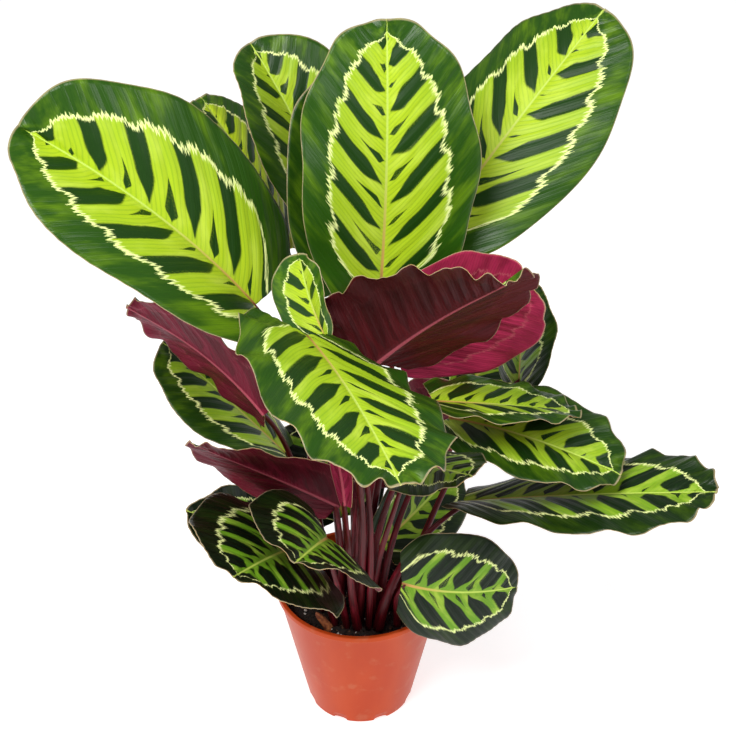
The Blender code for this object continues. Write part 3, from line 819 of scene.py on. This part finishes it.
def build_stalk(leaf, mat, sizes):
    """One stalk: radius from the foot's to 2.1 mm by (1 - v) to the power 1.4, a swelling below the blade
    that is a bell curve at v = 0.93, and fine lengthwise flutes."""
    count, sides = sizes.stalk_rings, 20
    route, v = stalk_route(leaf, count, sizes)
    radius = STALK_TIP_R + (leaf[10] - STALK_TIP_R) * (1.0 - v) ** 1.4
    radius = radius * (1.0 + 0.16 * np.exp(-(((v - 0.93) / 0.05) ** 2)))
    radius = radius * (1.0 - 0.35 * smooth(v, 0.975, 1.0))
    angle = 2 * math.pi * np.arange(sides) / sides
    flute = 1.0 + 0.025 * np.cos(5 * angle)[None, :] + 0.02 * np.cos(3 * angle[None, :] + 9.0 * v[:, None])
    radii = radius[:, None] * flute * MM
    points, faces, caps = tube(route, radii, sides)
    name = leaf[0]
    sets = [(faces, 0), (caps, 0)]
    obj = make_piece("leafstalk_" + name, points, sets, [mat], "stalk_" + name)
    share = np.abs(np.arange(sides) / sides * 2.0 - 1.0)
    around = np.append(np.broadcast_to(share, (count, sides)).ravel(), [0.5, 0.5])
    along = np.append(np.repeat(v, sides), [0.0, 1.0])
    seeds = np.full(len(around), float(LOOKS[name][5]))
    point_vectors(obj, "run", np.stack([around, along, seeds], -1))
    surface_map(obj, around, along)
    return obj


# ---------------------------------------------------------------- pot and soil
def rounded(corners, steps=5):
    """An outline with its corners rounded: each (r, z, radius) corner becomes a curve of steps points,
    the blend (1-v)^2 A + 2v(1-v) C + v^2 B from a point before the corner C to a point after it."""
    corners = np.array(corners, float)
    place, radius = corners[1:-1, :2], corners[1:-1, 2:]
    back, ahead = corners[:-2, :2] - place, corners[2:, :2] - place
    before = place + unit(back) * np.minimum(radius, 0.45 * np.linalg.norm(back, axis=1, keepdims=True))
    after = place + unit(ahead) * np.minimum(radius, 0.45 * np.linalg.norm(ahead, axis=1, keepdims=True))
    v = np.linspace(0.0, 1.0, steps)[None, :, None]
    arc = (1 - v) ** 2 * before[:, None] + 2 * v * (1 - v) * place[:, None] + v * v * after[:, None]
    return np.concatenate([corners[:1, :2], arc.reshape(-1, 2), corners[-1:, :2]])


def build_pot(colours, sizes):
    """The pot: a rounded outline turned about Z, its bottom corner lifted in an arch at each notch.

    Lift at angle a: notch height times sqrt(1 - d^2), d the distance along the edge from the notch's
    middle over half its width, faded out over the lowest few millimetres of the wall.
    """
    height = POT_BOX[1].z
    rim = POT_BOX[1].x
    base = sizes.pot_base
    step = height - sizes.rim_depth
    wall_top = rim - sizes.rim_step
    foot = base + 0.0008
    foot_z, clear_z = 0.0042, 0.0110
    clear_r = foot + (wall_top - foot) * (clear_z - foot_z) / (step - foot_z)
    mouth = wall_top - sizes.pot_wall
    floor_z = 0.0022
    outline = rounded((
        (0.0, 0.0, 0.0), (base - 0.006, 0.0, 0.001), (base, 0.0, 0.0012), (foot, foot_z, 0.001),
        (clear_r, clear_z, 0.0005), (wall_top, step, 0.0005), (rim, step + 0.0006, 0.0007),
        (rim, height, 0.0013), (mouth, height, 0.0009), (mouth, height - 0.006, 0.002),
        (base - sizes.pot_wall, floor_z, 0.002), (0.0, floor_z, 0.0),
    ))
    turns = 320
    angle = 2 * math.pi * np.arange(turns) / turns
    r = outline[1:-1, 0][:, None]
    z = np.broadcast_to(outline[1:-1, 1][:, None], (len(outline) - 2, turns)).copy()
    outside = (np.arange(len(outline) - 2) < OUTER_RINGS)[:, None]
    spacing = 2 * math.pi / sizes.notches
    off = angle % spacing - spacing / 2
    d = np.abs(off) * base / (sizes.notch_width / 2)
    arch = np.sqrt(np.maximum(1.0 - d ** 2, 0.0))[None, :] * sizes.notch_height
    near = smooth(r, base - 0.008, base - 0.005) * smooth(-z, -0.0065, -0.0030) * outside
    z = z + arch * near
    points = np.stack([r * np.cos(angle), r * np.sin(angle), z], -1)
    rings = len(outline) - 2
    ends = np.array([[0, 0, outline[0, 1]], [0, 0, outline[-1, 1]]], float)
    faces = grid_faces(rings, turns, wrap=True)
    caps = np.concatenate([
        fan_faces(np.arange(turns), rings * turns, flip=True),
        fan_faces(np.arange(turns) + (rings - 1) * turns, rings * turns + 1),
    ])
    points = np.concatenate([points.reshape(-1, 3), ends])
    return make_piece("nursery_pot", points, [(faces, 0), (caps, 0)], [pot_material(colours)], "pot")


def soil_height(x, y):
    """Height of the soil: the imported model's top, two sizes of lumps, and a slow fall to the wall."""
    r = np.hypot(x, y)
    lumps = 0.0042 * (lattice(x, y, 0.011, 5) - 0.5) + 0.0030 * (lattice(x, y, 0.0046, 6) - 0.5)
    fine = 0.0016 * (lattice(x, y, 0.0021, 7) - 0.5)
    return SOIL_BOX[1].z - 0.0004 + lumps + fine - 0.0035 * smooth(r, 0.050, 0.078)


def build_soil(colours):
    """The root ball: a lumpy top over a polar grid, a side that follows the pot, and a flat underside."""
    lo, hi = SOIL_BOX
    turns, rings = 220, 84
    angle = 2 * math.pi * np.arange(turns) / turns
    top_r = hi.x - 0.0004
    low_r = 0.0505
    share = (np.arange(1, rings + 1) / rings)[:, None]
    r = top_r * share
    x, y = r * np.cos(angle), r * np.sin(angle)
    top = np.stack([x, y, soil_height(x, y)], -1)
    drop = np.linspace(0.0, 1.0, 9)[1:, None]
    side_r = top_r + (low_r - top_r) * drop
    rim = top[-1, :, 2][None, :]
    side_z = rim + (lo.z - rim) * drop
    side = np.stack([side_r * np.cos(angle), side_r * np.sin(angle), side_z], -1)
    points = np.concatenate([top, side])
    count = points.shape[0] * turns
    ends = np.array([[0.0, 0.0, float(soil_height(np.zeros(1), np.zeros(1))[0])], [0.0, 0.0, lo.z]])
    faces = grid_faces(points.shape[0], turns, wrap=True, flip=True)
    caps = np.concatenate([
        fan_faces(np.arange(turns), count),
        fan_faces(np.arange(turns) + count - turns, count + 1, flip=True),
    ])
    points = np.concatenate([points.reshape(-1, 3), ends])
    sets = [(faces, 0), (caps, 0)]
    return make_piece("potting_soil", points, sets, [soil_material(colours)], "soil")


def scatter(name, amount, size, stretch, sunk, mat, seed, spread=0.074):
    """Loose grains as one mesh: a ball of fourteen points, roughened, turned and stretched for each grain.

    Places are spread evenly over a disc (radius times the root of a random share); sizes follow a random
    share cubed, so that most grains are small.
    """
    random = np.random.default_rng(seed)
    ball = np.array([
        [1, 0, 0], [-1, 0, 0], [0, 1, 0], [0, -1, 0], [0, 0, 1], [0, 0, -1],
        [.6, .6, .6], [-.6, .6, .6], [.6, -.6, .6], [-.6, -.6, .6],
        [.6, .6, -.6], [-.6, .6, -.6], [.6, -.6, -.6], [-.6, -.6, -.6],
    ], float)
    ball_faces = np.array([
        [0, 6, 4], [6, 2, 4], [2, 7, 4], [7, 1, 4], [1, 9, 4], [9, 3, 4], [3, 8, 4], [8, 0, 4],
        [10, 0, 5], [2, 10, 5], [11, 2, 5], [1, 11, 5], [13, 1, 5], [3, 13, 5], [12, 3, 5], [0, 12, 5],
        [0, 10, 6], [10, 2, 6], [2, 11, 7], [11, 1, 7], [1, 13, 9], [13, 3, 9], [3, 12, 8], [12, 0, 8],
    ])
    shape = ball[None] * random.uniform(0.72, 1.15, (amount, len(ball), 1))
    shape = shape * (np.array(stretch)[None, None] * random.uniform(0.7, 1.2, (amount, 1, 3)))
    grade = size[0] + (size[1] - size[0]) * random.random((amount, 1, 1)) ** 3
    shape = shape * grade
    angle = random.uniform(0, 2 * math.pi, amount)
    tilt = random.uniform(-0.6, 0.6, amount)
    c, s = np.cos(angle), np.sin(angle)
    ct, st = np.cos(tilt), np.sin(tilt)
    x, y, z = shape[..., 0], shape[..., 1], shape[..., 2]
    x, z = x * ct[:, None] + z * st[:, None], z * ct[:, None] - x * st[:, None]
    x, y = x * c[:, None] - y * s[:, None], x * s[:, None] + y * c[:, None]
    r = spread * np.sqrt(random.random(amount))
    around = random.uniform(0, 2 * math.pi, amount)
    px, py = r * np.cos(around), r * np.sin(around)
    pz = soil_height(px, py) + (0.5 - sunk) * 2 * grade[:, 0, 0] * stretch[2]
    points = np.stack([x + px[:, None], y + py[:, None], z + pz[:, None]], -1)
    faces = (ball_faces[None] + (np.arange(amount) * len(ball))[:, None, None]).reshape(-1, 3)
    return make_piece(name, points.reshape(-1, 3), [(faces, 0)], [mat], "soil")


def build_sheath(colours):
    """A dry leaf sheath at the stalks' feet: a curled, tapering strip with two sides.

    Along v it leans outwards; across w it is an arc of up to 200 degrees whose radius narrows to the tip.
    """
    rows, columns = 30, 18
    v = np.linspace(0.0, 1.0, rows)[:, None]
    w = np.linspace(-1.0, 1.0, columns)[None, :]
    centre = np.array([-0.034, -0.050, SOIL_BOX[1].z - 0.002])
    radius = 0.0062 * (1.0 - v) ** 0.6 + 0.0008
    bend = w * math.radians(100.0)
    ragged = 1.0 + 0.08 * np.sin(9.0 * w + 5.0 * v)
    x = centre[0] - 0.010 * v ** 1.4 + radius * np.cos(bend) * ragged
    y = centre[1] - 0.006 * v + radius * np.sin(bend) * ragged
    z = centre[2] + 0.026 * v * (1.0 - 0.12 * w ** 2)
    outer = np.stack(np.broadcast_arrays(x, y, z), -1)
    inner = outer - grid_normals(outer) * 0.0004
    count = rows * columns
    loop = np.concatenate([
        np.arange(columns), np.arange(2, rows + 1) * columns - 1,
        np.arange(count - 2, count - columns - 1, -1), np.arange(rows - 2, 0, -1) * columns,
    ])
    onward = np.roll(loop, -1)
    strip = np.stack([onward, loop, loop + count, onward + count], -1)
    sheet = grid_faces(rows, columns)
    points = np.concatenate([outer.reshape(-1, 3), inner.reshape(-1, 3)])
    mat = grain_material("dry sheath", colours.sheath, colours.sheath_dark, 220.0, 0.8)
    sets = [(sheet, 0), (sheet[:, ::-1] + count, 0), (strip, 0)]
    return make_piece("dry_sheath", points, sets, [mat], "soil")


# ---------------------------------------------------------------- stage
def build_stage(colours):
    """A pale floor, two soft lights, the camera, and a sky that is seen paler than it shines."""
    corners = np.array([[-1, -1, 0], [1, -1, 0], [1, 1, 0], [-1, 1, 0]]) * FLOOR_REACH
    mesh = bpy.data.meshes.new("floor")
    mesh.from_pydata((corners - [0, 0, 0.0004]).tolist(), [], [(0, 1, 2, 3)])
    mat, w, shader = new_material("floor")
    w.join(colours.floor, shader["Base Color"])
    shader["Roughness"].default_value = 0.9
    shader["Specular IOR Level"].default_value = 0.1
    shader["Emission Color"].default_value = WHITE
    shader["Emission Strength"].default_value = FLOOR_GLOW
    mesh.materials.append(mat)
    floor = bpy.data.objects.new("floor", mesh)
    bpy.context.scene.collection.objects.link(floor)
    world = bpy.data.worlds.new("studio")
    world.use_nodes = True
    sky = Wiring(world.node_tree)
    seen = sky.node("ShaderNodeLightPath").outputs["Is Camera Ray"]
    background = world.node_tree.nodes["Background"].inputs
    background["Color"].default_value = WHITE
    sky.join(sky.math("MULTIPLY_ADD", seen, SKY_SEEN - SKY_LIGHT, SKY_LIGHT), background["Strength"])
    bpy.context.scene.world = world
    for name, place, aim, size, power in LIGHTS:
        lamp = bpy.data.lights.new(name, "AREA")
        lamp.shape = "DISK"
        lamp.size = size
        lamp.energy = power
        obj = bpy.data.objects.new(name, lamp)
        obj.location = place
        look = unit(np.array(place) - np.array(aim))
        obj.rotation_euler = (math.acos(look[2]), 0.0, math.atan2(look[0], -look[1]))
        bpy.context.scene.collection.objects.link(obj)
    lens = bpy.data.cameras.new("camera")
    lens.lens = CAMERA_LENS
    lens.sensor_width = CAMERA_SENSOR
    camera = bpy.data.objects.new("camera", lens)
    camera.location = CAMERA_PLACE
    camera.rotation_euler = (math.radians(CAMERA_TILT), 0.0, math.radians(CAMERA_TURN))
    bpy.context.scene.collection.objects.link(camera)
    bpy.context.scene.camera = camera
    bpy.context.scene.view_settings.view_transform = "Standard"


# ---------------------------------------------------------------- settings
def colour_property(name, description, default):
    """A colour setting."""
    return FloatVectorProperty(
        name=name, description=description, default=default, size=4, min=0.0, max=1.0, subtype="COLOR"
    )


def length_property(name, description, default):
    """A length setting in metres."""
    return FloatProperty(name=name, description=description, default=default, min=0.0, unit="LENGTH")


class PlantSizes(bpy.types.PropertyGroup):
    """Sizes of the plant's pieces."""

    thickness: length_property("Blade thickness", "Thickness of a blade away from its edge", 0.0006)
    pleat: length_property(
        "Pleat depth", "Depth of the folds between side veins, on a 150 mm wide blade", 0.0011
    )
    groove: length_property("Midrib groove", "Depth of the dip that the midrib lies in", 0.0008)
    ridge: length_property("Midrib ridge", "Height of the midrib on the underside", 0.0016)
    pot_base: length_property("Pot base radius", "Outside radius of the pot at its foot", 0.0545)
    pot_wall: length_property("Pot wall", "Thickness of the pot's wall", 0.0018)
    rim_depth: length_property("Rim depth", "Height of the rolled rim", 0.0065)
    rim_step: length_property("Rim step", "How far the rim stands out from the wall", 0.0022)
    notch_width: length_property("Notch width", "Width of a drain notch", 0.015)
    notch_height: length_property("Notch height", "Height of a drain notch", 0.0032)
    notches: IntProperty(name="Notches", description="Number of drain notches", default=8, min=1)
    blade_rows: IntProperty(name="Blade rows", description="Points along a blade", default=128, min=16)
    blade_columns: IntProperty(
        name="Blade columns", description="Points across half a blade", default=26, min=6
    )
    stalk_rings: IntProperty(name="Stalk rings", description="Rings along a stalk", default=56, min=12)
    crumbs: IntProperty(name="Soil crumbs", description="Number of loose crumbs of soil", default=1500, min=1)
    perlite: IntProperty(name="Perlite grains", description="Number of white grains", default=150, min=1)
    bark: IntProperty(name="Bark chips", description="Number of brown chips", default=120, min=1)


class PlantColours(bpy.types.PropertyGroup):
    """Colours of the plant's finishes."""

    panel_fresh: colour_property("Panel, fresh", "Between the bars of a fresh blade", tint(182, 208, 34))
    panel_old_and_shaded: colour_property("Panel, old", "Between the bars of an old blade", tint(104, 150, 30))
    # Old panel colour: darker from age and also from painted shade on the low and inner blades.
    panel_deep: colour_property(
        "Panel, deep", "Vein lines and the outer part of the panels", tint(84, 140, 30)
    )
    panel_pale: colour_property("Panel, pale", "Pale patches of the panels", tint(208, 228, 90))
    bar_fresh: colour_property("Bar, fresh", "Bars of a fresh blade", tint(26, 62, 8))
    # Old bar colour: darker from age and also from painted shade.
    bar_old_and_shaded: colour_property("Bar, old", "Bars of an old blade", tint(6, 20, 6))
    margin_fresh: colour_property("Margin, fresh", "Margin of a fresh blade", tint(42, 82, 12))
    # Old margin colour: darker from age and also from painted shade.
    margin_old_and_shaded: colour_property("Margin, old", "Margin of an old blade", tint(8, 22, 7))
    margin_light: colour_property("Margin, light", "Lighter patches of the margin", tint(104, 142, 14))
    ring: colour_property("Ring", "Ragged line inside the margin", tint(232, 242, 160))
    edge: colour_property("Edge", "Pale line along the blade's edge", tint(196, 176, 138))
    rib_tip: colour_property("Midrib, outer", "Midrib towards the tip", tint(190, 214, 92))
    rib_base: colour_property("Midrib, inner", "Midrib towards the base", tint(202, 160, 84))
    under_deep: colour_property("Underside", "Burgundy of the underside", tint(80, 15, 22))
    under_dark: colour_property("Underside, dark", "Darkest burgundy", tint(42, 7, 10))
    # Underside, lit: painted light, the pink of an underside in strong light.
    under_painted_lit: colour_property(
        "Underside, lit", "Pink of a blade that light comes through", tint(178, 44, 84)
    )
    under_ring: colour_property("Underside ring", "Ring and midrib on the underside", tint(196, 96, 108))
    stalk: colour_property("Stalk", "Burgundy red of the stalks", tint(112, 14, 26))
    # Stalk, dark also gives the painted shade at the stalks' feet.
    stalk_dark: colour_property("Stalk, dark", "Dark streaks of the stalks", tint(36, 6, 9))
    stalk_pink: colour_property("Stalk, pink", "Lighter blotches of the stalks", tint(146, 32, 52))
    pot: colour_property("Pot", "Terracotta plastic", tint(186, 66, 15))
    pot_deep: colour_property("Pot, deep", "Deeper tone of the plastic", tint(178, 58, 12))
    # Pot, rim: painted highlight, the rim lighter where light falls on it.
    pot_rim_painted_light: colour_property("Pot, rim", "Lighter tone of the rim", tint(204, 84, 30))
    soil: colour_property("Soil", "Brown crumbs", tint(46, 30, 20))
    soil_dark: colour_property("Soil, dark", "Damp soil", tint(18, 11, 7))
    perlite: colour_property("Perlite", "White grains", tint(232, 228, 220))
    perlite_dark: colour_property("Perlite, dark", "Soiled grains", tint(168, 160, 148))
    bark: colour_property("Bark", "Brown chips", tint(104, 68, 44))
    bark_dark: colour_property("Bark, dark", "Dark chips", tint(48, 32, 24))
    sheath: colour_property("Sheath", "Dry sheath", tint(186, 110, 60))
    sheath_dark: colour_property("Sheath, dark", "Dark streaks of the dry sheath", tint(112, 54, 30))
    floor: colour_property("Floor", "Pale floor", tint(226, 226, 226))


# ---------------------------------------------------------------- operators
class CALATHEA_OT_stage(bpy.types.Operator):
    """Build the floor, lights and camera"""

    bl_idname = "calathea.stage"
    bl_label = "Stage"

    def execute(self, context):
        build_stage(context.scene.calathea_colours)
        return {"FINISHED"}


class CALATHEA_OT_pot(bpy.types.Operator):
    """Build the pot"""

    bl_idname = "calathea.pot"
    bl_label = "Pot"

    def execute(self, context):
        build_pot(context.scene.calathea_colours, context.scene.calathea_sizes)
        return {"FINISHED"}


class CALATHEA_OT_soil(bpy.types.Operator):
    """Build the soil"""

    bl_idname = "calathea.soil"
    bl_label = "Soil"

    def execute(self, context):
        build_soil(context.scene.calathea_colours)
        return {"FINISHED"}


class CALATHEA_OT_grit(bpy.types.Operator):
    """Build the loose crumbs, grains and chips on the soil"""

    bl_idname = "calathea.grit"
    bl_label = "Grit"

    def execute(self, context):
        colours = context.scene.calathea_colours
        sizes = context.scene.calathea_sizes
        crumb = grain_material("soil crumb", colours.soil, colours.soil_dark, 300.0, 0.95)
        white = grain_material("perlite grain", colours.perlite, colours.perlite_dark, 500.0, 0.9)
        brown = grain_material("bark chip", colours.bark, colours.bark_dark, 300.0, 0.85)
        scatter("soil_crumbs", sizes.crumbs, (0.0008, 0.0030), (1.0, 0.9, 0.7), 0.35, crumb, 11)
        scatter("perlite_grains", sizes.perlite, (0.0008, 0.0022), (1.0, 0.9, 0.8), 0.30, white, 12)
        scatter("bark_chips", sizes.bark, (0.0020, 0.0060), (1.0, 0.45, 0.25), 0.20, brown, 13)
        return {"FINISHED"}


class CALATHEA_OT_sheath(bpy.types.Operator):
    """Build the dry sheath at the stalks' feet"""

    bl_idname = "calathea.sheath"
    bl_label = "Dry sheath"

    def execute(self, context):
        build_sheath(context.scene.calathea_colours)
        return {"FINISHED"}


class CALATHEA_OT_blades(bpy.types.Operator):
    """Build every leaf blade"""

    bl_idname = "calathea.blades"
    bl_label = "Leaf blades"

    def execute(self, context):
        colours = context.scene.calathea_colours
        build_vein_pattern()
        materials = [blade_top_material(colours), blade_under_material(colours), blade_edge_material(colours)]
        for leaf in LEAVES:
            build_blade(leaf, materials, context.scene.calathea_sizes)
        return {"FINISHED"}


class CALATHEA_OT_stalks(bpy.types.Operator):
    """Build every leaf stalk"""

    bl_idname = "calathea.stalks"
    bl_label = "Leaf stalks"

    def execute(self, context):
        mat = stalk_material(context.scene.calathea_colours)
        for leaf in LEAVES:
            build_stalk(leaf, mat, context.scene.calathea_sizes)
        return {"FINISHED"}


class CALATHEA_PT_parts(bpy.types.Panel):
    """Lists the plant's pieces"""

    bl_idname = "CALATHEA_PT_parts"
    bl_label = "Potted calathea"
    bl_space_type = "VIEW_3D"
    bl_region_type = "UI"
    bl_category = "Calathea"

    def draw(self, context):
        for step in STEPS:
            self.layout.operator(step.bl_idname)
        for settings in (context.scene.calathea_sizes, context.scene.calathea_colours):
            box = self.layout.box()
            for name in settings.__annotations__:
                box.prop(settings, name)


STEPS = (
    CALATHEA_OT_stage, CALATHEA_OT_pot, CALATHEA_OT_soil, CALATHEA_OT_grit, CALATHEA_OT_sheath,
    CALATHEA_OT_blades, CALATHEA_OT_stalks,
)
CLASSES = (PlantSizes, PlantColours) + STEPS + (CALATHEA_PT_parts,)


def register():
    """Register every class and hang the settings on the scene."""
    for item in CLASSES:
        bpy.utils.register_class(item)
    bpy.types.Scene.calathea_sizes = PointerProperty(type=PlantSizes)
    bpy.types.Scene.calathea_colours = PointerProperty(type=PlantColours)


def unregister():
    """Undo register."""
    del bpy.types.Scene.calathea_colours
    del bpy.types.Scene.calathea_sizes
    for item in reversed(CLASSES):
        bpy.utils.unregister_class(item)


def main():
    """Build the plant piece by piece."""
    register()
    bpy.ops.calathea.stage()
    bpy.ops.calathea.pot()
    bpy.ops.calathea.soil()
    bpy.ops.calathea.grit()
    bpy.ops.calathea.sheath()
    bpy.ops.calathea.blades()
    bpy.ops.calathea.stalks()


if __name__ == "__main__":
    main()
